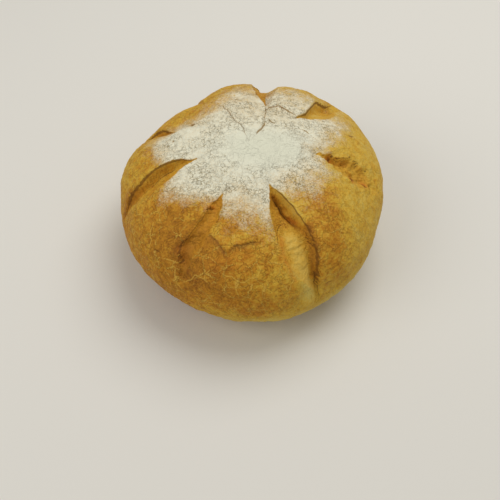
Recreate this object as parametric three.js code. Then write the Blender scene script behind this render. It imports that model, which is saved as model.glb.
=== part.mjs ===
// A round sourdough loaf (a boule), baked in one piece.
//
// The loaf is one closed solid: a domed body with a soft shoulder, sides that tuck in to a flat
// underside, and eight cuts that ran out from the crown and opened in the oven into leaf-shaped
// grooves. The dough between two cuts swelled into a rounded petal. Millimetres, +Z up, the
// origin at the centre of the underside. -Y is the front of the loaf.

import * as THREE from 'three';
import { mergeVertices } from 'three/addons/utils/BufferGeometryUtils.js';

const { clamp, degToRad, radToDeg, lerp } = THREE.MathUtils;

// ---- Driving dimensions, in millimetres -----------------------------------------------------

const HEIGHT = 100;             // underside to crown
const MEAN_RADIUS = 100.7;      // of the widest girth
const WAIST_HEIGHT = 42.25;     // height of the widest girth
const UNDERSIDE_REACH = 58.9;   // how far the round lower half would hang below the waist, uncut
const BASE_SOFTNESS = 4;        // height over which the side turns in to the flat underside
const DOME_WIDTH_POWER = 0.928; // below 1, the dome stays wide before it turns in
const DOME_RISE_POWER = 0.819;  // below 1, the dome rises fast and is flat on top

// The girth isn't a true circle: each row adds a share of the radius, repeated that many times.
const GIRTH_WAVES = [
  { times: 1, cos: 0.050, sin: 0.008 },
  { times: 2, cos: -0.029, sin: 0.027 },
  { times: 3, cos: -0.020, sin: 0.006 },
];

// Places where a petal swelled more or less than its neighbours: degrees round from +X, degrees
// down from the crown, the half spans of each in degrees, and the rise.
const SWELLS = [
  { azimuth: 144, down: 50, spanRound: 17, spanDown: 26, rise: -5.5 },
  { azimuth: 101, down: 50, spanRound: 14, spanDown: 22, rise: 3 },
  { azimuth: 50, down: 58, spanRound: 16, spanDown: 20, rise: -2 },
  { azimuth: 262, down: 88, spanRound: 40, spanDown: 22, rise: 1.5 },
];

// Each cut runs down from near the crown. A row gives degrees down from the crown and the azimuths
// of the cut's two edges there. The lip is raised on the side that steep names, +1 for the edge of
// larger azimuth, and the groove falls away steeply beneath it.
const CUTS = [
  {
    steep: -1,
    depth: 5.5,
    lip: 1.4,
    rows: [[23, 199, 200], [30, 195, 205], [38, 194, 208], [48, 195, 208], [72, 198, 203], [80, 200, 201]],
  },
  {
    steep: -1,
    depth: 5,
    lip: 1.2,
    rows: [[42, 157, 158], [48, 154, 161], [56, 151, 162], [64, 151, 160], [70, 154, 157]],
  },
  {
    steep: -1,
    depth: 3,
    lip: 0.4,
    rows: [[46, 121, 122], [54, 119, 123], [62, 119, 125], [72, 119, 125], [82, 121, 123]],
  },
  {
    steep: 1,
    depth: 5,
    lip: 0.8,
    rows: [[21, 72, 74], [26, 73, 79], [35, 74, 87], [46, 75, 90], [62, 77, 90], [80, 83, 85]],
  },
  {
    steep: 1,
    depth: 6,
    lip: 1.4,
    rows: [[26, 44, 46], [31, 38, 46], [38, 35, 49], [47, 36, 52], [56, 43, 49]],
  },
  {
    steep: 1,
    depth: 3,
    lip: 0.2,
    rows: [[27, 353, 355], [33, 350, 357], [38, 346, 358], [47, 343, 359], [56, 346, 357], [62, 350, 352]],
  },
  {
    steep: 1,
    depth: 6.5,
    lip: 1,
    rows: [[21, 292, 293], [25, 289, 297], [31, 286, 301], [45, 285, 303], [60, 287, 302], [84, 297, 299]],
  },
  {
    steep: -1,
    depth: 3.5,
    lip: 0.6,
    rows: [[27, 249, 250], [33, 245, 253], [43, 243, 252], [60, 240, 248], [76, 243, 246]],
  },
];

const VALLEY_DEPTH = 3;         // of the broad dip that a cut leaves between two petals
const VALLEY_HALF_WIDTH = 15;   // of that dip, where it has fallen to about a third
const END_FADE = 10;            // length over which the dip runs out past a cut's ends
const FULL_DEPTH_HALF_WIDTH = 6; // half width from which a groove has its whole depth
const FLOOR_PLACE = 0.2;        // where the deepest line lies, from 0 mid-groove to 1 at the lip
const LIP_HALF_WIDTH = 4.5;     // of the raised lip beside a groove
const GATHER = 0.55;            // how strongly the surface's steps are drawn in to the cuts
const GATHER_HALF_WIDTH = 14;   // of the strip that is drawn in
const SURFACE_STEPS = 20;       // each edge of the 20-sided start is divided this many times

const CRUST_COLOUR = 0xa5752c;

// ---- The plain body -------------------------------------------------------------------------

function wrapAngle(angle) {
  return Math.atan2(Math.sin(angle), Math.cos(angle));
}

function girthRadius(azimuth) {
  let share = 1;
  for (const wave of GIRTH_WAVES) {
    share += wave.cos * Math.cos(wave.times * azimuth);
    share += wave.sin * Math.sin(wave.times * azimuth);
  }
  return MEAN_RADIUS * share;
}

// Holds heights at zero below the table and blends softly into them above it.
function restOnTable(height) {
  if (height > BASE_SOFTNESS) {
    return height;
  }
  if (height < -BASE_SOFTNESS) {
    return 0;
  }
  return (height + BASE_SOFTNESS) ** 2 / (4 * BASE_SOFTNESS);
}

// The distance from the axis and the height of the body, before the table flattens it.
function bodyProfile(azimuth, elevation) {
  const across = Math.max(Math.cos(elevation), 0);
  const rise = Math.sin(elevation);
  const radius = girthRadius(azimuth);
  if (rise < 0) {
    return { radius: radius * across, height: WAIST_HEIGHT + UNDERSIDE_REACH * rise };
  }
  return {
    radius: radius * across ** DOME_WIDTH_POWER,
    height: WAIST_HEIGHT + (HEIGHT - WAIST_HEIGHT) * rise ** DOME_RISE_POWER,
  };
}

function swellOffset(azimuth, down) {
  let offset = 0;
  for (const swell of SWELLS) {
    const round = radToDeg(wrapAngle(azimuth - degToRad(swell.azimuth))) / swell.spanRound;
    const below = (down - swell.down) / swell.spanDown;
    offset += swell.rise * Math.exp(-round * round - below * below);
  }
  return offset;
}

// ---- The cuts -------------------------------------------------------------------------------

// The azimuths of a cut's two edges at so many degrees down from the crown.
function edgesAt(rows, down) {
  const next = Math.max(rows.findIndex((row) => row[0] >= down), 1);
  const [upper, lower] = [rows[next - 1], rows[next]];
  const share = (down - upper[0]) / (lower[0] - upper[0]);
  return [lerp(upper[1], lower[1], share), lerp(upper[2], lower[2], share)];
}

// Where a point lies on a cut: its angle and its distance from the middle line, the half width
// there, and a fade that is 1 along the cut and falls to 0 past its ends.
function placeOnCut(cut, azimuth, down, radius) {
  const reach = clamp(down, cut.rows[0][0], cut.rows.at(-1)[0]);
  const [low, high] = edgesAt(cut.rows, reach);
  const turn = wrapAngle(azimuth - degToRad((low + high) / 2));
  const past = degToRad(down - reach) * MEAN_RADIUS / END_FADE;
  return {
    turn,
    aside: radius * turn * cut.steep,
    halfWidth: radius * degToRad(high - low) / 2,
    fade: Math.exp(-past * past),
  };
}

// Draws the surface's steps closer together along each cut, so that the grooves come out clean.
function gatherToCuts(azimuth, down, radius) {
  let gathered = azimuth;
  for (const cut of CUTS) {
    const { turn, aside, fade } = placeOnCut(cut, gathered, down, radius);
    gathered -= turn * GATHER * fade * Math.exp(-((aside / GATHER_HALF_WIDTH) ** 2));
  }
  return gathered;
}

// How far one cut moves the surface along its outward normal.
function cutOffset(cut, azimuth, down, radius) {
  const { aside, halfWidth, fade } = placeOnCut(cut, azimuth, down, radius);
  const valley = -VALLEY_DEPTH * fade * Math.exp(-((aside / VALLEY_HALF_WIDTH) ** 2));
  const opening = fade * Math.min(halfWidth / FULL_DEPTH_HALF_WIDTH, 1);
  const lipPlace = (aside - halfWidth - LIP_HALF_WIDTH / 2) / LIP_HALF_WIDTH;
  const lip = cut.lip * opening * Math.exp(-lipPlace * lipPlace);
  const fromFloor = aside / halfWidth - FLOOR_PLACE;
  const flank = fromFloor > 0 ? 1 - FLOOR_PLACE : 1 + FLOOR_PLACE;
  const share = Math.min(Math.abs(fromFloor) / flank, 1);
  const groove = -cut.depth * opening * (1 - share * share);
  return valley + groove + lip;
}

// ---- The loaf -------------------------------------------------------------------------------

function surfacePoint(direction) {
  const elevation = Math.asin(clamp(direction.z, -1, 1));
  const down = 90 - radToDeg(elevation);
  const startAzimuth = Math.atan2(direction.y, direction.x);
  const startRadius = bodyProfile(startAzimuth, elevation).radius;
  const azimuth = gatherToCuts(startAzimuth, down, startRadius);
  const { radius, height } = bodyProfile(azimuth, elevation);
  let offset = swellOffset(azimuth, down);
  for (const cut of CUTS) {
    offset += cutOffset(cut, azimuth, down, radius);
  }
  const pushed = radius + offset * Math.cos(elevation);
  const raised = restOnTable(height + offset * Math.sin(elevation));
  return new THREE.Vector3(pushed * Math.cos(azimuth), pushed * Math.sin(azimuth), raised);
}

function loafGeometry() {
  const sphere = new THREE.IcosahedronGeometry(1, SURFACE_STEPS - 1);
  sphere.deleteAttribute('normal');
  sphere.deleteAttribute('uv');
  const geometry = mergeVertices(sphere, 1e-4);
  const position = geometry.attributes.position;
  const direction = new THREE.Vector3();
  for (let i = 0; i < position.count; i += 1) {
    direction.fromBufferAttribute(position, i).normalize();
    const point = surfacePoint(direction);
    position.setXYZ(i, point.x, point.y, point.z);
  }
  geometry.computeBoundingBox();
  const { min, max } = geometry.boundingBox;
  geometry.translate(-(min.x + max.x) / 2, -(min.y + max.y) / 2, 0);
  geometry.scale(1, 1, HEIGHT / max.z);
  geometry.computeVertexNormals();
  return geometry;
}

const crust = new THREE.MeshStandardMaterial({
  color: CRUST_COLOUR,
  roughness: 0.75,
  metalness: 0,
});

const sourdoughLoaf = new THREE.Mesh(loafGeometry(), crust);
sourdoughLoaf.name = 'sourdough_loaf';

const part = new THREE.Group();
part.add(sourdoughLoaf);

export default part;
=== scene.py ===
import math

import bpy
import numpy as np
from mathutils import Matrix, Vector, noise


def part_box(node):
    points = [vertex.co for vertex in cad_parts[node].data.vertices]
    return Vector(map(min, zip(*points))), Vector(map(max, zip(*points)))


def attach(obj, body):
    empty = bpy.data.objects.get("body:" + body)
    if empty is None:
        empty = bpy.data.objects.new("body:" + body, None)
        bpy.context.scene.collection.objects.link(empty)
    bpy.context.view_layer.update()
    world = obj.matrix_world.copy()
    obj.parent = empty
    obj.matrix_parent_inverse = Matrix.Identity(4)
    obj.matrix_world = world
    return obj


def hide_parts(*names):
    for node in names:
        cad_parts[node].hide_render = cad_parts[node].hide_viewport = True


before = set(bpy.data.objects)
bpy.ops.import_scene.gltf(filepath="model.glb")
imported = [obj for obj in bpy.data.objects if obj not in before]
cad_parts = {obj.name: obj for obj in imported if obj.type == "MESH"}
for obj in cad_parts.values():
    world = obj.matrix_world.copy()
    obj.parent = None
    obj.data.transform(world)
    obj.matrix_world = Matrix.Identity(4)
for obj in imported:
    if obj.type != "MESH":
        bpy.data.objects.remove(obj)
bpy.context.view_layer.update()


# ---- The view -------------------------------------------------------------------------------
# A camera held a little over 40 cm above the table and 33 cm in front of the loaf's middle,
# looking down at its crown, with a normal lens and a slight tilt to one side.

CAMERA_PLACE = (-0.0006, -0.3344, 0.410)
CAMERA_DOWN = 52.466
CAMERA_ROLL = 1.777
SENSOR_WIDTH = 36.0
FOCAL_LENGTH = 47.21

camera_data = bpy.data.cameras.new("camera")
camera_data.sensor_width = SENSOR_WIDTH
camera_data.lens = FOCAL_LENGTH
camera_data.clip_start = 0.01
camera = bpy.data.objects.new("camera", camera_data)
tilt = Matrix.Rotation(math.radians(90 - CAMERA_DOWN), 4, "X")
roll = Matrix.Rotation(math.radians(CAMERA_ROLL), 4, "Z")
camera.matrix_world = Matrix.Translation(CAMERA_PLACE) @ tilt @ roll
bpy.context.scene.collection.objects.link(camera)
bpy.context.scene.camera = camera


# ---- The loaf: its body ---------------------------------------------------------------------
# Wheat dough shaped into a tight ball, proved, and baked on a flat stone. It spread into a domed
# round with a soft shoulder, a little out of true, and its foot tucks in to a flat underside.

# Where no unit is given, lengths are metres and angles are degrees.
HEIGHT = 0.100
MEAN_RADIUS = 0.1007  # of the widest girth
WAIST_HEIGHT = 0.04225  # of the widest girth
UNDERSIDE_REACH = 0.0589  # how far the round lower half would hang below the waist, uncut
BASE_SOFTNESS = 0.004  # height over which the side turns in to the flat underside
DOME_WIDTH_POWER = 0.928  # below 1, the dome stays wide before it turns in
DOME_RISE_POWER = 0.819  # below 1, the dome rises fast and is flat on top

# How often round the girth, then the cosine and sine share of the radius.
GIRTH_WAVES = [(1, 0.050, 0.008), (2, -0.029, 0.027), (3, -0.020, 0.006)]

# Petals that swelled more or less than the rest: azimuth, angle down from the crown, the half spans
# round and down, and the rise.
SWELLS = [
    (144, 50, 17, 26, -0.0055),
    (101, 50, 14, 22, 0.003),
    (50, 58, 16, 20, -0.002),
    (262, 88, 40, 22, 0.0015),
]


def girth_radius(azimuth):
    share = 1.0
    for times, cosine, sine in GIRTH_WAVES:
        share = share + cosine * np.cos(times * azimuth) + sine * np.sin(times * azimuth)
    return MEAN_RADIUS * share


def body_profile(azimuth, elevation):
    """Distance from the axis and height of the plain body, before the table flattens it."""
    across = np.maximum(np.cos(elevation), 0)
    rise = np.sin(elevation)
    up = np.maximum(rise, 0) ** DOME_RISE_POWER
    height = WAIST_HEIGHT + np.where(rise < 0, UNDERSIDE_REACH * rise, (HEIGHT - WAIST_HEIGHT) * up)
    width = np.where(rise < 0, across, across**DOME_WIDTH_POWER)
    return girth_radius(azimuth) * width, height


def rest_on_table(height):
    """Holds heights at zero below the table and blends softly into them above it."""
    soft = (height + BASE_SOFTNESS) ** 2 / (4 * BASE_SOFTNESS)
    return np.where(height > BASE_SOFTNESS, height, np.where(height < -BASE_SOFTNESS, 0, soft))


def wrap_angle(angle):
    return np.arctan2(np.sin(angle), np.cos(angle))


def swell_offset(azimuth, down):
    offset = 0.0
    for place, below, span_round, span_down, rise in SWELLS:
        turn = np.degrees(wrap_angle(azimuth - math.radians(place))) / span_round
        drop = (down - below) / span_down
        offset = offset + rise * np.exp(-turn * turn - drop * drop)
    return offset


# ---- The loaf: its cuts ---------------------------------------------------------------------
# Before baking, a blade scored the ball eight times from the crown outwards. In the oven each cut
# opened into a leaf-shaped groove of smooth, unfloured dough, with one edge lifted into a lip.

# Rows: the angle down from the crown, then the azimuths of the groove's two edges there. The lip is
# on the side that steep names, +1 for the edge of larger azimuth. Depth, lip and overhang are
# millimetres, and floor says where the deepest line lies at each row, from 0 mid-groove to 1 at
# the lip. Bare, where given, says from where across the groove, and from how far down the skin in
# millimetres, the dough has no flour.
CUTS = [
    dict(steep=-1, depth=5.5, lip=1.4, overhang=0.9, floor=(0.2, 0.2, 0.3, 0.5, 0.5, 0.5), rows=[
        (23, 199, 200), (30, 195, 205), (38, 194, 208), (48, 195, 208), (72, 198, 203), (80, 200, 201)]),
    dict(steep=-1, depth=5.0, lip=1.2, overhang=0.8, floor=(0.4, 0.4, 0.4, 0.4, 0.4), rows=[
        (42, 157, 158), (48, 154, 161), (56, 151, 162), (64, 151, 160), (70, 154, 157)]),
    dict(steep=-1, depth=3.0, lip=0.4, overhang=0.4, floor=(0.2, 0.2, 0.2, 0.2, 0.2), rows=[
        (46, 121, 122), (54, 119, 123), (62, 119, 125), (72, 119, 125), (82, 121, 123)]),
    dict(steep=1, depth=5.0, lip=0.8, overhang=0.8, bare=(-0.2, 56), floor=(0.1,) * 6, rows=[
        (21, 72, 74), (26, 73, 79), (35, 74, 87), (46, 75, 90), (62, 77, 90), (80, 83, 85)]),
    dict(steep=1, depth=6.0, lip=1.4, overhang=0.4, floor=(0.4, 0.4, 0.4, 0.4, 0.4), rows=[
        (26, 44, 46), (31, 38, 46), (38, 35, 49), (47, 36, 52), (56, 43, 49)]),
    dict(steep=1, depth=3.0, lip=0.2, overhang=0.0, floor=(0.3, 0.3, 0.3, 0.3, 0.3, 0.3), rows=[
        (27, 353, 355), (33, 350, 357), (38, 346, 358), (47, 343, 359), (56, 346, 357), (62, 350, 352)]),
    dict(steep=1, depth=6.5, lip=1.0, overhang=0.8, floor=(-0.3, -0.3, -0.25, 0.25, 0.6, 0.6), rows=[
        (21, 292, 293), (25, 289, 297), (31, 286, 301), (45, 285, 303), (60, 287, 302), (84, 297, 299)]),
    dict(steep=-1, depth=3.5, lip=0.6, overhang=0.5, floor=(-0.2, -0.2, -0.2, 0.0, 0.0), rows=[
        (27, 249, 250), (33, 245, 253), (43, 243, 252), (60, 240, 248), (76, 243, 246)]),
]
TORN_CUT = CUTS[5]

VALLEY_DEPTH = 0.003  # of the broad dip that a cut leaves between two petals
VALLEY_HALF_WIDTH = 0.015
END_FADE = 0.010  # length over which the dip runs out past a cut's ends
FULL_DEPTH_HALF_WIDTH = 0.006  # half width from which a groove has its whole depth
STEEP_FLANK = 3.5  # powers: the higher, the wider the floor and the steeper the flank
GENTLE_FLANK = 2.2
LIP_HALF_WIDTH = 0.0045
OVERHANG_REACH = 0.0028  # how far from its edge the lip leans over the groove
LIP_SHADOW_PLACE = 0.0003  # the dark line under the lip lies this far inside the edge
LIP_SHADOW_HALF_WIDTH = 0.00036
WEAKEST_LIP_SHADOW = 0.02  # the share of that half width where the cut is closed
GATHER = 0.55  # how strongly the surface's steps are drawn in to the cuts
GATHER_HALF_WIDTH = 0.014
ROW_STEP = 0.25  # the angle at which the rows are filled in
ROW_MARGIN = 5  # the angle by which they are carried on past the cut's ends
ROW_SMOOTHING = 25  # the number of steps over which they are rounded


def smooth_row(down, rows, values):
    """A cut's values at its rows, filled in for each angle down from the crown and rounded."""
    places = [row[0] for row in rows]
    steps = np.arange(places[0] - ROW_MARGIN, places[-1] + ROW_MARGIN, ROW_STEP)
    edge = np.interp(steps, places, values)
    window = np.hanning(ROW_SMOOTHING)
    padded = np.pad(edge, ROW_SMOOTHING // 2, mode="edge")
    return np.interp(down, steps, np.convolve(padded, window / window.sum(), mode="valid"))


def place_on_cut(cut, azimuth, down, radius):
    """Turn and distance from the cut's middle line, its half width there, and a fade past its ends."""
    rows = cut["rows"]
    reach = np.clip(down, rows[0][0], rows[-1][0])
    low, high = (smooth_row(reach, rows, [row[side] for row in rows]) for side in (1, 2))
    turn = wrap_angle(azimuth - np.radians((low + high) / 2))
    aside = radius * turn * cut["steep"]
    half_width = radius * np.radians(high - low) / 2
    past = np.radians(down - reach) * MEAN_RADIUS / END_FADE
    return turn, aside, half_width, np.exp(-past * past)


def gather_to_cuts(azimuth, down, radius):
    """Draws the surface's steps closer together along each cut, so that the grooves are fine."""
    for cut in CUTS:
        turn, aside, _, fade = place_on_cut(cut, azimuth, down, radius)
        azimuth = azimuth - turn * GATHER * fade * np.exp(-((aside / GATHER_HALF_WIDTH) ** 2))
    return azimuth


def groove_shape(across, floor):
    """1 on the groove's deepest line and 0 at its edges, steep towards the lip at +1."""
    steep_side = np.clip((across - floor) / (1 - floor), 0, 1) ** STEEP_FLANK
    gentle_side = np.clip((floor - across) / (1 + floor), 0, 1) ** GENTLE_FLANK
    return 1 - np.maximum(steep_side, gentle_side)


# ---- The loaf: its folds, tears and pits ----------------------------------------------------
# The crown cracked in thin lines as it dried, the front petal's skin tore in a jagged edge, and
# the opened cuts have folds and ridges along their floors. Small pits are burst bubbles. All are
# placed on the skin laid flat round the crown: millimetres to the right (+X) and to the back (+Y).

# Each fold: its half width and rise in millimetres, less than 0 for a valley, and its points.
FOLDS = [
    # under the lip of the widest cut, a ridge, a deep fold beside it and a tongue of later dough
    (2.4, 2.2, [(19.5, -42), (26, -48.5), (32, -55.5), (37, -62), (41, -68.5), (45, -75)]),
    (1.3, -2.2, [(18.5, -47), (22, -51.5), (26, -57.5), (29, -62.5), (34, -66.5), (39, -70), (44, -77)]),
    (6.5, 4.0, [(32, -76), (38, -86), (44, -97), (49, -106), (53, -113)]),
    # a ridge just inside the left cut's lip, and a dip below it
    (1.3, 1.8, [(-50, -15), (-60, -16.5), (-70, -18.5), (-80, -22.5), (-90, -27.5), (-100, -32),
                (-108, -36)]),
    (3.0, -1.2, [(-62, -21), (-74, -25), (-86, -31), (-96, -36)]),
    # a flap across the front left cut, and the bulges of dough below it
    (1.0, 1.5, [(-30.5, -59.5), (-27.5, -58.6), (-25, -59.2)]),
    (2.4, 1.3, [(-33, -72), (-29, -74), (-24, -73)]),
    (3.0, 1.2, [(-42, -80), (-36, -78), (-30, -77)]),
    (2.2, -1.1, [(-31, -81), (-35, -85), (-38, -88), (-41, -92)]),
    (2.0, -1.2, [(-50, -94), (-49, -102), (-44, -105)]),
    # the raised rim and the hollows of the torn right-hand cut
    (0.9, 1.5, [(50, -5.5), (56, -4), (60, -2.5), (66, -2.8), (70, -3.6), (75, -2.2), (80, -1.2),
                (85, -1.6), (90, -3.2), (93, -5.5), (96, -9), (98, -12), (100, -16)]),
    (1.8, -1.3, [(58, -6), (65, -7.5), (72, -7)]),
    (2.2, -1.6, [(75, -5.5), (81, -5)]),
    # the edge of the petal that overhangs the back cut, and the ridge that joins it to the next
    (1.0, 1.1, [(12, 28), (12.5, 36), (17, 38.5), (24, 40), (28, 38.5), (32, 36)]),
]

# Each crack: its half width, its depth, the step up on its left side, and its points.
CRACKS = [
    # from the crown to the back and left
    (0.5, 1.4, 0.6, [(4.5, 6), (7, 10), (9, 14), (11, 19)]),
    (0.2, 0.6, 0.7, [(11, 19), (10.5, 24), (11, 30), (12, 35), (12, 44)]),
    (0.4, 1.2, 0.4, [(14, 24), (16, 22), (18.5, 20)]),
    (0.32, 0.9, 0.5, [(-2, 4), (-4, 8), (-4.5, 14), (-7, 18), (-12, 23), (-15, 30), (-18, 38), (-23, 45),
                     (-30, 53), (-38, 61), (-45, 72)]),
    (0.3, 1.2, 0.8, [(12, 42), (15, 45), (18, 47.5), (21, 48), (25, 45), (30, 41), (35, 37.5)]),
    (0.4, 0.7, -0.7, [(24, 14.5), (27, 15.5), (31, 17.5), (36, 18.5), (40, 18.6)]),
    (0.7, 1.2, 0, [(40, 18.4), (42, 17.2), (44, 16)]),
    (0.3, 0.5, -0.6, [(44, 16), (48, 13), (52, 8)]),
    (0.2, 0.6, 0, [(64, -2.8), (70, -3.8), (75, -2), (80, 0), (84, -1), (88, -3.5)]),
    # along and under the lips of the cuts
    (0.3, 0.6, 0, [(20, -49.5), (24, -54.5), (27.5, -60), (31, -64.5), (36, -68)]),
    (0.2, 0.6, 0, [(-58, -18.5), (-70, -21.5), (-80, -26), (-90, -31), (-100, -36), (-106, -39)]),
    (0.4, 0.8, 0, [(57, -94), (58, -101), (59, -107), (60, -113)]),
    (0.3, 0.7, 0, [(28, -68.5), (25, -70.5), (23, -74), (22, -78), (22.5, -83)]),
    (0.4, 0.8, 0, [(-31.5, -62), (-29, -60.8), (-26, -60.6)]),
    (0.25, 0.8, 0, [(-48, -83), (-50.5, -88), (-52, -94), (-51.5, -99)]),
    (0.25, 0.7, 0, [(-21, -66), (-20.5, -69), (-22.5, -72)]),
    # the skin torn across the front petal, its upper layer standing over the lower one
    (0.05, 0.4, 1.2, [(-28, -78.5), (-23, -82), (-20, -84), (-18, -87), (-15, -90), (-12, -92)]),
    (0.05, 0.4, 1.4, [(-12, -92), (-10, -89), (-8, -86.5), (-4, -85.5), (0, -85), (3, -83), (6, -83),
                      (9, -85)]),
    # short cracks low on the left and on the right
    (0.35, 0.5, 0.3, [(-75, -86), (-70, -87), (-67, -90)]),
    (0.3, 0.5, 0.3, [(66, -107), (69, -104.5), (73, -103)]),
    (0.4, 0.6, 0.3, [(77, 26), (81, 27), (84, 30)]),
]
STEP_REACH = 0.006  # how far the skin beside a step stays raised
STEP_SHADOW = 0.0024  # how far its shade reaches over the lower skin
TORN_LAYER_STEP = 1  # from this step up, the edge of a torn layer gets painted shade over the lower skin and no dark crease line
FOLD_END = 0.25  # the share of a line's length over which it runs out at each end
CRACK_END = 0.15
CRACK_AT_END = 0.3  # the share of a crack's depth and width left at its very end
CRACK_FLARE = 1.4  # a crack is this much wider at the skin than its dark line of painted shade
PIT_MOUTH = 0.8  # the share of a pit's radius that has painted shade

# Each pit: its place on the skin, its radius and its depth, in millimetres.
PITS = [
    (-63, 7, 1.2, 1.0), (-50.5, 31, 2.4, 1.2), (-51, -88, 1.2, 1.2), (-51.5, -99, 1.3, 1.2),
    (20, 45, 0.9, 1.0), (64, -5.5, 1.6, 1.2), (80, 1, 1.2, 1.1), (88, -0.5, 1.1, 1.0),
    (86, -17, 2.2, 1.3), (83, -22.5, 1.6, 1.0), (97, -19, 1.9, 1.1), (97, -4, 1.1, 0.9),
    (46, -77, 0.9, 0.7), (47.5, -80, 0.9, 0.7),
]


def arc_from_crown(down):
    """How far a point lies from the crown, measured down over the mean surface."""
    steps = np.arange(0, 180.5, 0.5)
    radius, height = body_profile(np.full_like(steps, math.pi / 4), np.radians(90 - steps))
    height = rest_on_table(height)
    arcs = np.concatenate([[0], np.cumsum(np.hypot(np.diff(radius), np.diff(height)))])
    return np.interp(down, steps, arcs)


def unroll(azimuth, down):
    """The skin laid flat round the crown, so that lengths along it are real ones."""
    arc = arc_from_crown(down)
    return np.stack([arc * np.cos(azimuth), arc * np.sin(azimuth)], axis=-1)


def distance_to_line(skin, line):
    """Distance to a line of points, the side it lies on, +1 on the left, and the share along it."""
    line = np.array(line, float) / 1000
    nearest = np.full(len(skin), np.inf)
    side = np.zeros(len(skin))
    share = np.zeros(len(skin))
    lengths = np.linalg.norm(np.diff(line, axis=0), axis=1)
    starts = np.concatenate([[0], np.cumsum(lengths)])
    for index, (start, end) in enumerate(zip(line[:-1], line[1:])):
        run = end - start
        away = skin - start
        along = np.clip(away @ run / (run @ run), 0, 1)
        gap = np.linalg.norm(away - along[:, None] * run, axis=1)
        closer = gap < nearest
        nearest = np.where(closer, gap, nearest)
        side = np.where(closer, np.sign(run[0] * away[:, 1] - run[1] * away[:, 0]), side)
        share = np.where(closer, (starts[index] + along * lengths[index]) / starts[-1], share)
    return nearest, side, share


# ---- The loaf: its skin ---------------------------------------------------------------------
# The baked skin is uneven from shaping, wrinkled and blistered from drying, and covered low on the
# front by a net of fine raised crackle. Rice flour was sifted over the crown before the cuts.

# Each kind of lump: its size, its height, and the octaves of finer detail in it.
LUMPS = [
    (0.045, 0.0014, 2),
    (0.014, 0.0006, 2),
    (0.0045, 0.00035, 2),
    (0.0024, 0.00020, 2),
]

# Pale ridges of the crackle where it stands out: points on the skin in millimetres.
CRACKLE_LINES = [
    [(-16, -105), (-13, -107), (-10, -106.6), (-6, -109), (-3, -110), (1, -110), (3, -107),
     (5, -106.5), (8, -106)],
    [(-48, -113), (-44, -112), (-40, -109), (-37, -107), (-33, -109), (-30, -110), (-28, -112)],
    [(-30, -110), (-29, -106), (-26, -104)],
    [(-65, -94), (-60, -95.5), (-55, -98), (-52, -98.5)],
    [(-73, -67), (-74, -70), (-75.5, -73), (-76, -77), (-75, -79), (-77, -82)],
    [(-39, -127), (-34, -128), (-28, -128), (-22, -129)],
    [(-57, -103), (-58, -108), (-57, -114), (-52, -120)],
    [(8, -106), (11, -101), (9, -97)],
    [(-6, -109), (-7, -114), (-4, -119)],
]
CRACKLE_LINE_HALF_WIDTH = 0.0005
CRACKLE_LINE_HEIGHT = 0.0002

# How thickly the fine net of crackle covers a place: the side it faces, how low it lies, and
# patches, each with its share.
CRACKLED_TOWARDS = 240  # azimuth of the most crackled side
CRACKLED_SIDE_SHARE = 0.7
CRACKLED_FROM = 55  # angles down from the crown
CRACKLED_TO = 115
CRACKLED_BLEND = 30
CRACKLED_LOW_SHARE = 0.6
CRACKLED_PATCH_SIZE = 0.025
CRACKLED_PATCH_SHARE = 0.8
CRACKLED_ABOVE = 0.1
CRACKLED_SOFTNESS = 0.3

PULL_LENGTH = 0.007  # the dough of a cut's floor is pulled into ripples that run across the cut
PULL_SPACING = 0.0026
PULL_HEIGHT = 0.0007
PULL_FADE = 0.007  # distance from the cut's edges over which they rise
EDGE_WANDER = 0.0008  # how far a torn edge strays
EDGE_WANDER_SIZE = 0.007
TORN_BUMP_SIZE = 0.0045
TORN_BUMP_HEIGHT = 0.0022
TORN_REACH = 0.006  # how far past its edges the torn cut is rough

# The flour at each azimuth: how far down the skin it hides the crust, and where it ends, in mm.
FLOUR_REACH = [
    (0, 34, 74), (15, 48, 90), (30, 62, 104), (45, 56, 108), (60, 50, 108), (75, 56, 110),
    (90, 42, 102), (105, 44, 92), (120, 40, 78), (135, 42, 84), (147, 40, 98), (157, 62, 102),
    (165, 68, 103), (180, 67, 93), (192, 60, 84), (204, 56, 84), (214, 64, 92), (225, 60, 86),
    (240, 54, 75), (249, 46, 74), (256, 38, 85), (270, 36, 89), (284, 45, 94), (297, 38, 72),
    (309, 29, 80), (330, 35, 82), (345, 42, 80),
]
# Where more or less of it fell: place on the skin, half widths to the right and back, and change.
FLOUR_HEAPS = [
    (0.011, -0.007, 0.031, 0.018, 0.45),
    (0.010, 0.038, 0.030, 0.018, -0.22),
]
FLOUR_PATCH_SIZE = 0.009
FLOUR_PATCHINESS = 0.22
FLOUR_IN_CUTS = 0.020  # the cuts have flour in them this near the crown, and none 10 mm further
FLOUR_IN_CUTS_FADE = 0.010


def smooth_noise(points, size, octaves, seed):
    """Noise about 0 with bumps of that size. A seed gives the same pattern on every run."""
    start = Vector((seed * 7.31, seed * 3.17, seed * 5.53))
    return np.array([noise.fractal(Vector(p) / size + start, 1.0, 2.0, octaves) for p in points])


def cube_ball(steps):
    """A closed ball of even square faces: a cube cut into a grid and blown up. Unit directions."""
    bpy.ops.mesh.primitive_cube_add(size=2)
    cube = bpy.context.object
    cut_up = cube.modifiers.new("grid", "SUBSURF")
    cut_up.subdivision_type = "SIMPLE"
    cut_up.levels = steps
    mesh = bpy.data.meshes.new_from_object(cube.evaluated_get(bpy.context.evaluated_depsgraph_get()))
    bpy.data.objects.remove(cube)
    corners = np.empty(len(mesh.vertices) * 3)
    mesh.vertices.foreach_get("co", corners)
    directions = np.tan(corners.reshape(-1, 3) * math.pi / 4)
    return mesh, directions / np.linalg.norm(directions, axis=1)[:, None]


def nearer(gap, other):
    """Of two signed distances, the one that is closer to zero."""
    return np.where(np.abs(other) < np.abs(gap), other, gap)
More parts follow.
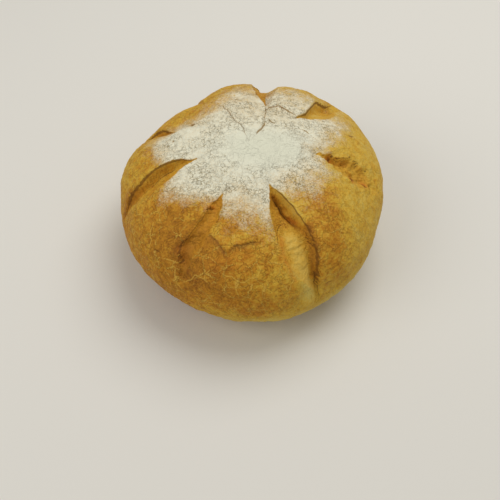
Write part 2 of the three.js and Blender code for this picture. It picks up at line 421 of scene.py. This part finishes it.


# How deeply the crust baked, from 0, straw, to 1, dark brown: evenly, and what is added in patches,
# on the sides that faced the oven's hotter and cooler parts, and at the foot, with painted shade added
# in the depth of a cut. Sides are azimuths, and each From is an angle down from the crown.
EVEN_BAKE = 0.50
BAKE_PATCH_SIZE = 0.035
BAKE_PATCHINESS = 0.10
# painted shade: the crust is painted darker towards a cut's deepest line
GROOVE_SHADE = 0.12
HOT_SIDE = 243
HOT_SIDE_SPAN = 0.75  # radians
HOT_SIDE_FROM = 20
HOT_SIDE_BLEND = 30
HOT_SIDE_BAKE = 0.20
COOL_SIDE = 5
COOL_SIDE_BAKE = -0.12
FOOT_FROM = 88
FOOT_BLEND = 16
FOOT_PATCH_SIZE = 0.020
FOOT_PATCHINESS = 0.3
HOT_FOOT_BAKE = 0.08
PALE_SIDE = 312
PALE_SIDE_RISE = 1.4  # how fast the paleness sets in round the foot, and what is left off it
PALE_SIDE_CUTOFF = 0.2
PALE_FOOT_BAKE = -0.5
UNDERSIDE_FROM = 130
UNDERSIDE_BAKE = 0.75  # it lay on the hot stone

# Where the crust baked darker or paler, or has shade or a highlight painted in: half width in
# millimetres, change, points on the skin.
BAKE_AND_SHADE_MARKS = [
    (8.0, -0.45, [(34, -80), (41, -92), (47, -104), (54, -116)]),
    # painted shade: darker along the groove under the widest cut's lip
    (2.8, 0.40, [(44, -68), (50, -79), (54, -91), (57, -104)]),
    # painted highlight: paler along the ridge inside that lip
    (2.4, -0.25, [(20.5, -43), (26, -48.5), (32, -55.5), (37, -62), (41, -68)]),
    # painted shade: darker in the deep fold beside that ridge
    (1.3, 0.40, [(18.5, -47), (22, -51.5), (26, -57.5), (29, -62.5), (34, -66.5), (39, -70)]),
    (12.0, 0.24, [(56, -48), (64, -66), (68, -86)]),
    (7.0, -0.22, [(-60, -21), (-80, -28), (-98, -38)]),
    (8.0, -0.45, [(44, 46), (52, 53), (60, 60)]),
    # painted shade: two darker lines inside the lip of the back right cut
    (1.2, 0.35, [(48, 53), (56, 60), (64, 64)]),
    (1.0, 0.25, [(46, 47), (56, 54), (66, 60)]),
    (9.0, -0.15, [(-120, 0), (-112, 24)]),
    (6.0, 0.26, [(-50, -88), (-49, -97), (-46, -105)]),
    (3.0, -0.12, [(-25, -77), (-18, -82), (-12, -87), (-7, -81), (2, -79)]),
    # painted shade: darker in the hollows under the torn cut's rim
    (3.0, 0.25, [(60, -5), (68, -7), (78, -5)]),
    # painted shade: darker under the lip near the outer end of the left cut
    (4.0, 0.25, [(-100, -31), (-112, -38), (-120, -42)]),
]
# Where it browned redder, in the same way.
BLUSH_MARKS = [
    (2.0, 0.5, [(26, -80), (26.5, -90), (30, -97), (34, -103), (38, -107)]),
    (2.5, 0.6, [(-31, -60), (-26, -59)]),
    (2.6, 0.9, [(86, -16), (83, -22)]),
    (2.2, 0.9, [(96, -19), (98, -17)]),
    (2.0, 0.7, [(63, -5), (66, -7)]),
    (1.6, 0.6, [(33, -64), (37, -67)]),
    (6.0, 0.2, [(-20, -100), (-10, -98), (0, -97)]),
    (4.0, 0.25, [(-50, -90), (-49, -98)]),
]

GRID_STEPS = 7  # how often each face of the cube is halved
CROWN_GATHER = 20  # degrees by which the middle rows of the grid move up, to make the dome finer
FAR_OUTSIDE = -0.05  # the depth inside a cut that stands for being far from all of them
FAR_OFF = 100.0  # the same for a line, in half widths of it
WITHIN_ENDS = 0.99  # a cut's fade from which a place lies between its ends
CUT_EDGE_BLEND = 0.0010  # width over which the flour stops at a cut's edge
WANDER_RADIUS = 0.02  # nearer to the axis than this, edges wander round it no further
PUSH_RADIUS = 0.01  # nor are lips pushed round it further than here

mesh, directions = cube_ball(GRID_STEPS)
mesh.name = "sourdough_loaf_crust"
down = 90 - np.degrees(np.arcsin(np.clip(directions[:, 2], -1, 1)))
down = down - CROWN_GATHER * np.sin(np.radians(down))
elevation = np.radians(90 - down)
azimuth = np.arctan2(directions[:, 1], directions[:, 0])
azimuth = gather_to_cuts(azimuth, down, body_profile(azimuth, elevation)[0])
radius, height = body_profile(azimuth, elevation)
plain = np.stack([radius * np.cos(azimuth), radius * np.sin(azimuth), height], axis=-1)

# The edges of cuts and cracks wander a little.
wander = [smooth_noise(plain, EDGE_WANDER_SIZE, 3, seed) * EDGE_WANDER for seed in (1, 2)]
torn_azimuth = azimuth + wander[0] / np.maximum(radius, WANDER_RADIUS)
torn_down = down + np.degrees(wander[1] / MEAN_RADIUS)

# The cuts. Offset moves the skin along its normal, and push moves it round the axis.
arc = arc_from_crown(down)
offset = swell_offset(azimuth, down)
push = np.zeros(len(plain))
inside_cut = np.full(len(plain), FAR_OUTSIDE)
crease_shade_gap = np.full(len(plain), FAR_OFF)  # distance to a line of painted crease shade, in half widths of it, with a sign for its side
groove_depth = np.zeros(len(plain))
for seed, cut in enumerate(CUTS):
    _, aside, half_width, fade = place_on_cut(cut, torn_azimuth, torn_down, radius)
    opening = fade * np.minimum(half_width / FULL_DEPTH_HALF_WIDTH, 1)
    groove = opening * groove_shape(aside / half_width, smooth_row(torn_down, cut["rows"], cut["floor"]))
    past_edge = aside - half_width
    lip = opening * np.exp(-(((past_edge - LIP_HALF_WIDTH / 2) / LIP_HALF_WIDTH) ** 2))
    offset = offset - VALLEY_DEPTH * fade * np.exp(-((aside / VALLEY_HALF_WIDTH) ** 2))
    offset = offset - cut["depth"] / 1000 * groove + cut["lip"] / 1000 * lip
    over = opening * np.exp(-((past_edge / OVERHANG_REACH) ** 2))
    push = push - cut["steep"] * cut["overhang"] / 1000 * over
    bare_across, bare_down = cut.get("bare", (-1, 0))
    inside = np.minimum(-past_edge, aside - bare_across * half_width)
    inside = np.where((fade > WITHIN_ENDS) & (arc * 1000 > bare_down), inside, FAR_OUTSIDE)
    inside_cut = np.maximum(inside_cut, inside)
    groove_depth = np.maximum(groove_depth, groove)
    shade = np.maximum(min(cut["lip"], 1) ** 2 * opening, WEAKEST_LIP_SHADOW)
    crease_shade_gap = nearer(crease_shade_gap, (past_edge + LIP_SHADOW_PLACE) / (LIP_SHADOW_HALF_WIDTH * shade))
    open_skin = np.flatnonzero(inside > 0)
    pulled = np.stack([aside / PULL_LENGTH, arc / PULL_SPACING, 0 * arc], axis=-1)[open_skin]
    ripple = PULL_HEIGHT * smooth_noise(pulled, 1, 2, 60 + seed)
    offset[open_skin] += ripple * np.clip(inside[open_skin] / PULL_FADE, 0, 1) ** 2

# The folds, cracks and pits.
skin = unroll(torn_azimuth, torn_down)
for half_width, rise, points in FOLDS:
    gap, _, share = distance_to_line(skin, points)
    ends = np.sqrt(np.clip(np.minimum(share, 1 - share) / FOLD_END, 0, 1))
    offset = offset + rise / 1000 * ends * np.exp(-((gap * 1000 / half_width) ** 2))
shadow = np.zeros(len(plain))
for half_width, depth, step, points in CRACKS:
    gap, side, share = distance_to_line(skin, points)
    ends = np.clip(np.minimum(share, 1 - share) / CRACK_END, 0, 1)
    taper = CRACK_AT_END + (1 - CRACK_AT_END) * ends
    offset = offset - depth / 1000 * taper * np.exp(-((gap * 1000 / half_width / CRACK_FLARE) ** 2))
    offset = offset + step / 1000 * ends * (side > 0) * np.exp(-((gap / STEP_REACH) ** 2))
    # a crack's dark line is painted shade in it
    if abs(step) < TORN_LAYER_STEP:
        crease_shade_gap = nearer(crease_shade_gap, side * gap * 1000 / (half_width * taper))
    under = (side * step < 0) * min(abs(step), 1)
    shadow = np.maximum(shadow, under * ends * np.exp(-((gap / STEP_SHADOW) ** 2)))
# a pit's dark mouth is painted shade in it
for right, back, size, depth in PITS:
    gap = np.linalg.norm(skin * 1000 - (right, back), axis=1)
    offset = offset - depth / 1000 * np.exp(-((gap / size) ** 2))
    crease_shade_gap = nearer(crease_shade_gap, gap / (size * PIT_MOUTH))

# The lumps, and the floor of the shallow right-hand cut, which tore rather than opened.
for seed, (size, rise, octaves) in enumerate(LUMPS):
    offset = offset + rise * smooth_noise(plain, size, octaves, 10 + seed)
_, aside, half_width, fade = place_on_cut(TORN_CUT, azimuth, down, radius)
torn = fade * np.exp(-((aside / (half_width + TORN_REACH)) ** 2))
offset = offset + TORN_BUMP_HEIGHT * torn * smooth_noise(plain, TORN_BUMP_SIZE, 3, 20)

# The crackle: its standing lines, and how thickly its fine net covers each place.
crackle_gap = np.full(len(plain), FAR_OFF)  # in half widths of the line, with a sign for its side
for points in CRACKLE_LINES:
    gap, side, _ = distance_to_line(skin, points)
    crackle_gap = nearer(crackle_gap, side * gap / CRACKLE_LINE_HALF_WIDTH)
offset = offset + CRACKLE_LINE_HEIGHT * np.exp(-(crackle_gap**2))
this_side = np.cos(azimuth - math.radians(CRACKLED_TOWARDS)) * CRACKLED_SIDE_SHARE
low_down = np.clip((down - CRACKLED_FROM) / CRACKLED_BLEND, -1, CRACKLED_LOW_SHARE)
patchy = smooth_noise(plain, CRACKLED_PATCH_SIZE, 3, 34) * CRACKLED_PATCH_SHARE
crackled = np.clip((this_side + low_down + patchy - CRACKLED_ABOVE) / CRACKLED_SOFTNESS, 0, 1)
crackled = crackled * (down < CRACKLED_TO) * (inside_cut < 0)

# The flour: 0 leaves the skin bare, 1 hides it, and more is a heap.
flour_table = np.array(FLOUR_REACH, float)
round_degrees = np.degrees(azimuth) % 360
hidden_to, ends_at = (
    np.interp(round_degrees, flour_table[:, 0], flour_table[:, column] / 1000, period=360)
    for column in (1, 2))
flour = (ends_at - arc) / (ends_at - hidden_to)
flour = np.clip(flour + FLOUR_PATCHINESS * smooth_noise(plain, FLOUR_PATCH_SIZE, 3, 40), 0, 1)
for right, back, half_right, half_back, change in FLOUR_HEAPS:
    aside = (skin[:, 0] - right) / half_right
    behind = (skin[:, 1] - back) / half_back
    flour = flour + change * np.exp(-(aside**2) - behind**2)
cut_share = np.clip(inside_cut / CUT_EDGE_BLEND + 0.5, 0, 1)
flour = flour * (1 - cut_share * np.clip((arc - FLOUR_IN_CUTS) / FLOUR_IN_CUTS_FADE, 0, 1))

# How deeply each place baked, with painted shade added in the cuts' depths and along some lips and folds,
# and how red.
foot = (down - FOOT_FROM) / FOOT_BLEND + FOOT_PATCHINESS * smooth_noise(plain, FOOT_PATCH_SIZE, 2, 51)
foot = np.clip(foot, 0, 1)
hot_side = np.exp(-((wrap_angle(azimuth - math.radians(HOT_SIDE)) / HOT_SIDE_SPAN) ** 2))
cool_side = np.clip(np.cos(azimuth - math.radians(COOL_SIDE)), 0, 1)
pale_side = PALE_SIDE_RISE * np.cos(azimuth - math.radians(PALE_SIDE)) - PALE_SIDE_CUTOFF
pale_side = np.clip(pale_side, 0, 1)
bake_and_shade = EVEN_BAKE + HOT_SIDE_BAKE * hot_side * np.clip((down - HOT_SIDE_FROM) / HOT_SIDE_BLEND, 0, 1)
bake_and_shade = bake_and_shade + BAKE_PATCHINESS * smooth_noise(plain, BAKE_PATCH_SIZE, 2, 50)
# painted shade towards each cut's deepest line, and paler on the cooler side
bake_and_shade = bake_and_shade + GROOVE_SHADE * groove_depth + COOL_SIDE_BAKE * cool_side
bake_and_shade = bake_and_shade + foot * (HOT_FOOT_BAKE * hot_side + PALE_FOOT_BAKE * pale_side)
bake_and_shade = np.where(down > UNDERSIDE_FROM, UNDERSIDE_BAKE, bake_and_shade)
blush = np.zeros(len(plain))
for target, places in ((bake_and_shade, BAKE_AND_SHADE_MARKS), (blush, BLUSH_MARKS)):
    for half_width, change, points in places:
        gap, _, _ = distance_to_line(skin, points)
        target += change * np.exp(-((gap * 1000 / half_width) ** 2))

# The finished shape, centred on the part's box and brought to its height.
radius = radius + offset * np.cos(elevation)
height = rest_on_table(height + offset * np.sin(elevation))
azimuth = azimuth + push / np.maximum(radius, PUSH_RADIUS)
shape = np.stack([radius * np.cos(azimuth), radius * np.sin(azimuth), height], axis=-1)

low, high = (np.array(corner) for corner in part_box("sourdough_loaf"))
middle = (shape.min(0) + shape.max(0)) / 2
shape[:, :2] += (low + high)[:2] / 2 - middle[:2]
shape[:, 2] = low[2] + shape[:, 2] * (high[2] - low[2]) / shape[:, 2].max()
mesh.vertices.foreach_set("co", shape.ravel())
mesh.shade_smooth()

# What the finish needs to know at each place on the skin.
SKIN_MARKS = {
    "flour": flour,
    "inside_cut": inside_cut,
    "crease_shade_gap": crease_shade_gap,
    "crackle_gap": crackle_gap,
    "bake_and_shade": bake_and_shade,
    "shadow": shadow,
    "crackled": crackled,
    "blush": blush,
}
for name, values in SKIN_MARKS.items():
    layer = mesh.attributes.new(name, "FLOAT", "POINT")
    layer.data.foreach_set("value", values.astype(np.float32))

loaf = bpy.data.objects.new("sourdough_loaf_crust", mesh)
bpy.context.scene.collection.objects.link(loaf)


# ---- The loaf: its finish -------------------------------------------------------------------
# Baked wheat crust: dry and matt with a faint sheen where the starch gelled, straw to golden brown
# with shade painted into its low places, orange-brown in the opened cuts, under a dusting of
# off-white flour.

PALE_CRUST = "#CFB458"
GOLD_CRUST = "#CBA136"
BROWN_CRUST = "#B67C20"
DARK_CRUST = "#8A5415"
CUT_CRUST = "#CC922E"
# painted shade in the creases: under the lips, in cracks and in pits
CREASE_SHADE_CRUST = "#6B4315"
WRINKLE_CRUST = "#80551C"
SHADED_CRUST = "#94622C"
BLUSH_CRUST = "#C4641C"
CRACKLE_CRUST = "#D6AC48"
FLOUR_THICK = "#E6E3CC"
FLOUR_HEAPED = "#DAD8C0"
FLOUR_THIN = "#DCCBA6"
FLOUR_GAP = "#745F1E"

CRUST_IOR = 1.45
CRUST_SHEEN_SHARE = 0.15
CRUST_ROUGHNESS = 0.62
FLOUR_ROUGHNESS = 0.95
RELIEF_DEPTH = 0.0007
RELIEF_STRENGTH = 0.9

# The sizes of the patterns. The crust's grain is about 0.5 mm and the flour's under 0.1 mm, too fine
# to show, so both are drawn coarser, and the flour as clumps.
BLISTER_SIZE = 0.0065
WRINKLE_SIZE = 0.0075
PEBBLE_SIZE = 0.0028
GRAIN_SIZE = 0.0014
FLOUR_GRAIN_SIZE = 0.0011
FLOUR_FLECK_SIZE = 0.0042  # of places where the flour lies thicker or thinner
CRACKLE_CELL = 0.012  # between the lines of the crackle
CRACKLE_BEND = 0.008  # how far they are bent, and over what length
CRACKLE_BEND_SIZE = 0.008
CRACKLE_GAP_SIZE = 0.008  # of the stretches where they break off
SQUIGGLE_CELL = 0.0021  # between the thin cracks in the floured skin
SQUIGGLE_BEND = 0.0015
SQUIGGLE_BREAK = 0.0024
SQUIGGLE_PATCH = 0.012  # of the patches that cracked more or less


def linear(code):
    """An sRGB hex colour as the linear RGBA that a shader socket takes."""
    shares = [int(code[start:start + 2], 16) / 255 for start in (1, 3, 5)]
    return [s / 12.92 if s <= 0.04045 else ((s + 0.055) / 1.055) ** 2.4 for s in shares] + [1.0]


def add(tree, kind, inputs=None, **settings):
    """Adds a node with its settings. An input is a value, or a socket or node to link it to."""
    node = tree.nodes.new("ShaderNode" + kind)
    for name, value in settings.items():
        setattr(node, name, value)
    for name, value in (inputs or {}).items():
        if isinstance(value, bpy.types.Node):
            value = next(socket for socket in value.outputs if socket.enabled)
        if isinstance(value, bpy.types.NodeSocket):
            tree.links.new(value, node.inputs[name])
        else:
            node.inputs[name].default_value = value
    return node


def baked_crust():
    material = bpy.data.materials.new("baked_wheat_crust")
    material.use_nodes = True
    tree = material.node_tree
    surface = tree.nodes["Principled BSDF"]
    place = add(tree, "TexCoord").outputs["Object"]
    marks = {}
    for name in SKIN_MARKS:
        marks[name] = add(tree, "Attribute", attribute_name=name).outputs["Fac"]
    color = dict(data_type="RGBA")
    times = dict(operation="MULTIPLY")
    times_plus = dict(operation="MULTIPLY_ADD")
    less = dict(operation="SUBTRACT")
    soft = dict(interpolation_type="SMOOTHSTEP")

    # browning: how far each place baked, with the painted shade carried in that mark, and blisters,
    # pebbles and grain about it
    blisters = add(tree, "TexNoise", {
        "Vector": place, "Scale": 1 / BLISTER_SIZE, "Detail": 4.0, "Distortion": 0.4})
    pebbles = add(tree, "TexNoise", {"Vector": place, "Scale": 1 / PEBBLE_SIZE, "Detail": 2.0})
    grain = add(tree, "TexNoise", {"Vector": place, "Scale": 1 / GRAIN_SIZE, "Detail": 2.0})
    browned_and_shaded = marks["bake_and_shade"]
    for texture, strength in ((blisters, 0.5), (pebbles, 0.28), (grain, 0.40)):
        about_zero = add(tree, "Math", {0: texture, 1: 0.5}, **less)
        browned_and_shaded = add(tree, "Math", {0: about_zero, 1: strength, 2: browned_and_shaded}, **times_plus)
    ramp = add(tree, "ValToRGB", {"Fac": browned_and_shaded})
    stops = ramp.color_ramp.elements
    for stop, position, code in ((stops[0], 0.10, PALE_CRUST), (stops[1], 0.98, DARK_CRUST)):
        stop.position = position
        stop.color = linear(code)
    for position, code in ((0.42, GOLD_CRUST), (0.66, BROWN_CRUST)):
        stops.new(position).color = linear(code)

    # fine dark wrinkles where the skin dried
    folds = add(tree, "TexNoise", {
        "Vector": place, "Scale": 1 / WRINKLE_SIZE, "Detail": 3.0, "Roughness": 0.6, "Distortion": 0.6})
    off_fold = add(tree, "Math", {0: folds, 1: 0.5}, **less)
    off_fold = add(tree, "Math", {0: off_fold}, operation="ABSOLUTE")
    wrinkled = add(tree, "MapRange", {
        "Value": off_fold, "From Min": 0.022, "From Max": 0.004, "To Max": 0.35}, **soft)
    well_baked = add(tree, "MapRange", {"Value": marks["bake_and_shade"], "From Min": 0.1, "From Max": 0.6}, **soft)
    wrinkled = add(tree, "Math", {0: wrinkled, 1: well_baked}, **times)
    crust = add(tree, "Mix", {"Factor": wrinkled, "A": ramp, "B": linear(WRINKLE_CRUST)}, **color)

    # smooth dough in the cuts, and places that browned redder
    in_cut = add(tree, "MapRange", {
        "Value": marks["inside_cut"], "From Min": -0.0004, "From Max": 0.0006, "To Max": 0.35}, **soft)
    crust = add(tree, "Mix", {"Factor": in_cut, "A": crust, "B": linear(CUT_CRUST)}, **color)
    blushed = add(tree, "Math", {0: marks["blush"], 1: 0.65}, **times)
    crust = add(tree, "Mix", {"Factor": blushed, "A": crust, "B": linear(BLUSH_CRUST)}, **color)

    # the crackle: a bent net of fine lines, broken here and there, and the ridges that stand out
    bend = add(tree, "TexNoise", {
        "Vector": place, "Scale": 1 / CRACKLE_BEND_SIZE, "Detail": 4.0, "Roughness": 0.65})
    bent = add(tree, "Mix", {
        "Factor": CRACKLE_BEND, "A": place, "B": bend.outputs["Color"]}, blend_type="ADD", **color)
    net = add(tree, "TexVoronoi", {
        "Vector": bent.outputs["Result"], "Scale": 1 / CRACKLE_CELL}, feature="DISTANCE_TO_EDGE")
    on_net = add(tree, "MapRange", {
        "Value": net, "From Min": 0.034, "From Max": 0.010, "To Max": 0.72}, **soft)
    gaps = add(tree, "TexNoise", {"Vector": place, "Scale": 1 / CRACKLE_GAP_SIZE, "Detail": 1.0})
    unbroken = add(tree, "MapRange", {"Value": gaps, "From Min": 0.40, "From Max": 0.54}, **soft)
    netted = add(tree, "Math", {0: on_net, 1: marks["crackled"]}, **times)
    netted = add(tree, "Math", {0: netted, 1: unbroken}, **times)
    off_ridge = add(tree, "Math", {0: marks["crackle_gap"]}, operation="ABSOLUTE")
    on_ridge = add(tree, "MapRange", {
        "Value": off_ridge, "From Min": 1.1, "From Max": 0.4, "To Max": 0.55}, **soft)
    crackle = add(tree, "Math", {0: netted, 1: on_ridge}, operation="MAXIMUM")
    crust = add(tree, "Mix", {"Factor": crackle, "A": crust, "B": linear(CRACKLE_CRUST)}, **color)

    # painted shade under torn skin, and painted shade in the creases: under the lips, in cracks and in
    # pits
    shaded = add(tree, "Math", {0: marks["shadow"], 1: 0.6}, **times)
    crust = add(tree, "Mix", {"Factor": shaded, "A": crust, "B": linear(SHADED_CRUST)}, **color)
    off_crease_shade = add(tree, "Math", {0: marks["crease_shade_gap"]}, operation="ABSOLUTE")
    crease_shade = add(tree, "MapRange", {"Value": off_crease_shade, "From Min": 1.5, "From Max": 0.7}, **soft)
    dark = add(tree, "Math", {0: crease_shade, 1: 0.7}, **times)
    crust = add(tree, "Mix", {"Factor": dark, "A": crust, "B": linear(CREASE_SHADE_CRUST)}, **color)

    # flour: speckled where it is thin
    flour_grain = add(tree, "TexNoise", {
        "Vector": place, "Scale": 1 / FLOUR_GRAIN_SIZE, "Detail": 2.0, "Roughness": 0.7})
    about_zero = add(tree, "Math", {0: flour_grain, 1: 0.5}, **less)
    speckle = add(tree, "Math", {0: about_zero, 1: 1.2, 2: marks["flour"]}, **times_plus)
    flecks = add(tree, "TexNoise", {
        "Vector": place, "Scale": 1 / FLOUR_FLECK_SIZE, "Detail": 3.0, "Roughness": 0.6})
    about_zero = add(tree, "Math", {0: flecks, 1: 0.5}, **less)
    speckle = add(tree, "Math", {0: about_zero, 1: 0.45, 2: speckle}, **times_plus)
    grains = add(tree, "MapRange", {"Value": speckle, "From Min": 0.10, "From Max": 0.75}, **soft)
    veil = add(tree, "MapRange", {"Value": marks["flour"], "From Min": -0.3, "From Max": 0.8}, **soft)
    covered = add(tree, "Math", {0: grains, 1: veil}, **times)

    # dark squiggles where the floured skin dried and cracked, but not in the heap on the crown
    curls = add(tree, "TexNoise", {
        "Vector": place, "Scale": 1 / SQUIGGLE_CELL, "Detail": 1.0, "Distortion": 0.8})
    from_middle = add(tree, "Math", {0: curls, 1: 0.5, 2: 0.009}, operation="COMPARE")
    twist = add(tree, "TexNoise", {"Vector": place, "Scale": 1 / SQUIGGLE_CELL, "Detail": 2.0})
    twisted = add(tree, "Mix", {
        "Factor": SQUIGGLE_BEND, "A": place, "B": twist.outputs["Color"]}, blend_type="ADD", **color)
    cells = add(tree, "TexVoronoi", {
        "Vector": twisted.outputs["Result"], "Scale": 1 / SQUIGGLE_CELL}, feature="DISTANCE_TO_EDGE")
    on_cells = add(tree, "MapRange", {"Value": cells, "From Min": 0.075, "From Max": 0.015}, **soft)
    squiggles = add(tree, "Math", {0: from_middle, 1: on_cells}, operation="MAXIMUM")
    breaks = add(tree, "TexNoise", {"Vector": place, "Scale": 1 / SQUIGGLE_BREAK, "Detail": 1.0})
    patches = add(tree, "TexNoise", {"Vector": place, "Scale": 1 / SQUIGGLE_PATCH, "Detail": 2.0})
    limits = ((breaks, 0.38, 0.52), (patches, 0.38, 0.54), (marks["flour"], 1.35, 1.0))
    for limit, none_at, all_at in limits:
        share = add(tree, "MapRange", {"Value": limit, "From Min": none_at, "From Max": all_at}, **soft)
        squiggles = add(tree, "Math", {0: squiggles, 1: share}, **times)

    # the flour itself, thin, thick or heaped, with the squiggles in it, and little in the creases, where
    # their painted shade shows
    thickness = add(tree, "MapRange", {"Value": speckle, "From Min": 0.5, "From Max": 1.3}, **soft)
    flour = add(tree, "Mix", {
        "Factor": thickness, "A": linear(FLOUR_THIN), "B": linear(FLOUR_THICK)}, **color)
    heaped = add(tree, "MapRange", {"Value": marks["flour"], "From Min": 0.95, "From Max": 1.42}, **soft)
    flour = add(tree, "Mix", {"Factor": heaped, "A": flour, "B": linear(FLOUR_HEAPED)}, **color)
    gapped = add(tree, "Math", {0: squiggles, 1: 0.68}, **times)
    flour = add(tree, "Mix", {"Factor": gapped, "A": flour, "B": linear(FLOUR_GAP)}, **color)
    kept = add(tree, "Math", {0: crease_shade, 1: -0.75, 2: 1.0}, **times_plus)
    flour_shown = add(tree, "Math", {0: covered, 1: kept}, **times)
    finish = add(tree, "Mix", {"Factor": flour_shown, "A": crust, "B": flour}, **color)

    # how matt it is, and its fine relief
    rough = add(tree, "MapRange", {
        "Value": flour_shown, "To Min": CRUST_ROUGHNESS, "To Max": FLOUR_ROUGHNESS}, **soft)
    relief = add(tree, "Math", {0: grain, 1: 0.5}, **times)
    relief = add(tree, "Math", {0: pebbles, 1: 1.2, 2: relief}, **times_plus)
    relief = add(tree, "Math", {0: netted, 1: 0.8, 2: relief}, **times_plus)
    relief = add(tree, "Math", {0: wrinkled, 1: -1.2, 2: relief}, **times_plus)
    cracked = add(tree, "Math", {0: squiggles, 1: covered}, **times)
    relief = add(tree, "Math", {0: cracked, 1: -0.3, 2: relief}, **times_plus)
    floury = add(tree, "Math", {0: flour_shown, 1: flour_grain}, **times)
    relief = add(tree, "Math", {0: floury, 1: 0.6, 2: relief}, **times_plus)
    bump = add(tree, "Bump", {"Height": relief, "Distance": RELIEF_DEPTH, "Strength": RELIEF_STRENGTH})

    tree.links.new(finish.outputs["Result"], surface.inputs["Base Color"])
    tree.links.new(rough.outputs["Result"], surface.inputs["Roughness"])
    tree.links.new(bump.outputs["Normal"], surface.inputs["Normal"])
    surface.inputs["IOR"].default_value = CRUST_IOR
    surface.inputs["Specular IOR Level"].default_value = CRUST_SHEEN_SHARE
    return material


mesh.materials.clear()
mesh.materials.append(baked_crust())
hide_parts("sourdough_loaf")
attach(loaf, "root")


# ---- The floor ------------------------------------------------------------------------------
# A plain studio table top under the loaf. Its pale matt paint takes soft shadows and mirrors
# nothing.

FLOOR_HALF = 3.0
FLOOR_PAINT = "#DCD8CE"
FLOOR_ROUGHNESS = 0.9

floor_mesh = bpy.data.meshes.new("floor")
corners = [(x * FLOOR_HALF, y * FLOOR_HALF, low[2]) for x, y in ((-1, -1), (1, -1), (1, 1), (-1, 1))]
floor_mesh.from_pydata(corners, [], [(0, 1, 2, 3)])
floor = bpy.data.objects.new("floor", floor_mesh)
bpy.context.scene.collection.objects.link(floor)
floor_paint = bpy.data.materials.new("pale_matt_paint")
floor_paint.use_nodes = True
floor_surface = floor_paint.node_tree.nodes["Principled BSDF"]
floor_surface.inputs["Base Color"].default_value = linear(FLOOR_PAINT)
floor_surface.inputs["Roughness"].default_value = FLOOR_ROUGHNESS
floor_mesh.materials.append(floor_paint)


# ---- The light ------------------------------------------------------------------------------
# A large soft lamp above and behind on the right, a wider and slightly weaker one from the front
# left, and an even pale room round them. Colours are shown as plain sRGB, so a hex value keeps its
# look.

LAMPS = [  # name, place, size, watts
    ("lamp_over_right", (0.35, 0.40, 1.15), 1.0, 8.2),
    ("lamp_front_left", (-1.1, -0.6, 1.0), 1.2, 7.6),
]
ROOM_STRENGTH = 0.40
ROOM_COLOUR = "#FFFFFF"

for name, spot, size, watts in LAMPS:
    lamp_data = bpy.data.lights.new(name, "AREA")
    lamp_data.shape = "DISK"
    lamp_data.size = size
    lamp_data.energy = watts
    lamp = bpy.data.objects.new(name, lamp_data)
    lamp.location = spot
    aim = Vector((0, 0, HEIGHT / 2)) - Vector(spot)
    lamp.rotation_euler = aim.to_track_quat("-Z", "Y").to_euler()
    bpy.context.scene.collection.objects.link(lamp)

room = bpy.data.worlds.new("room")
room.use_nodes = True
background = room.node_tree.nodes["Background"]
background.inputs["Color"].default_value = linear(ROOM_COLOUR)
background.inputs["Strength"].default_value = ROOM_STRENGTH
bpy.context.scene.world = room
bpy.context.scene.view_settings.view_transform = "Standard"
